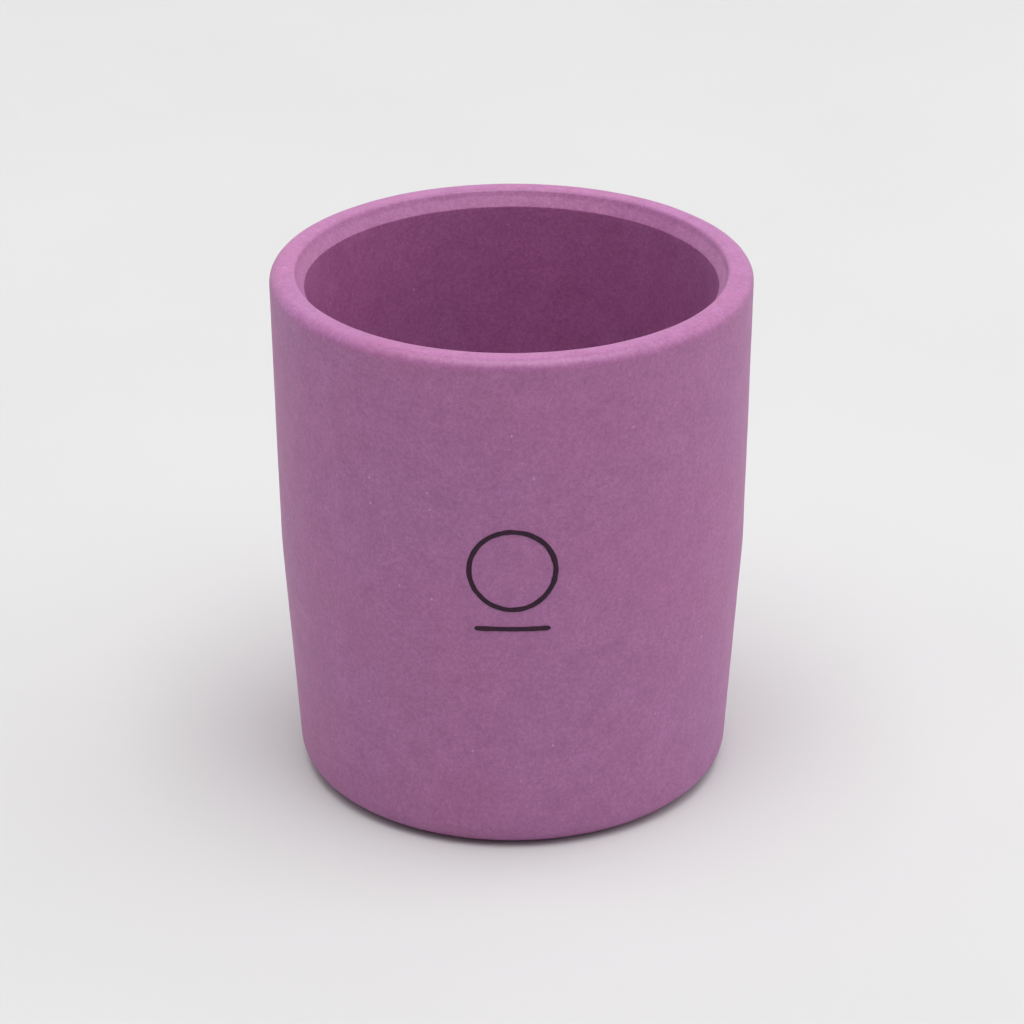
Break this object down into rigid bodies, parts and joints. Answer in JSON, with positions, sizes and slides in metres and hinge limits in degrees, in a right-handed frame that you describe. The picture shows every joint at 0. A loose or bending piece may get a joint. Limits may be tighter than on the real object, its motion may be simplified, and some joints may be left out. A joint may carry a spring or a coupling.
{
  "type": "tig torch gas nozzle",
  "caption": "Short open ceramic gas cup for a TIG welding torch: a wide socket end for the torch, a tapered outside and a round gas outlet.",
  "frame": {"origin": "on the nozzle's axis, at the flat mouth face that it stands on", "axes": "+Z along the axis from the mouth to the torch end, -Y out through the middle of the fired mark"},
  "size_m": [0.0226, 0.0226, 0.0254],
  "materials": {
    "alumina": "matte",
    "fired_ink": "matte"
  },
  "bodies": {
    "root": {"nozzle_body": "alumina", "mark_ring": "fired_ink", "mark_bar": "fired_ink"}
  },
  "joints": []
}
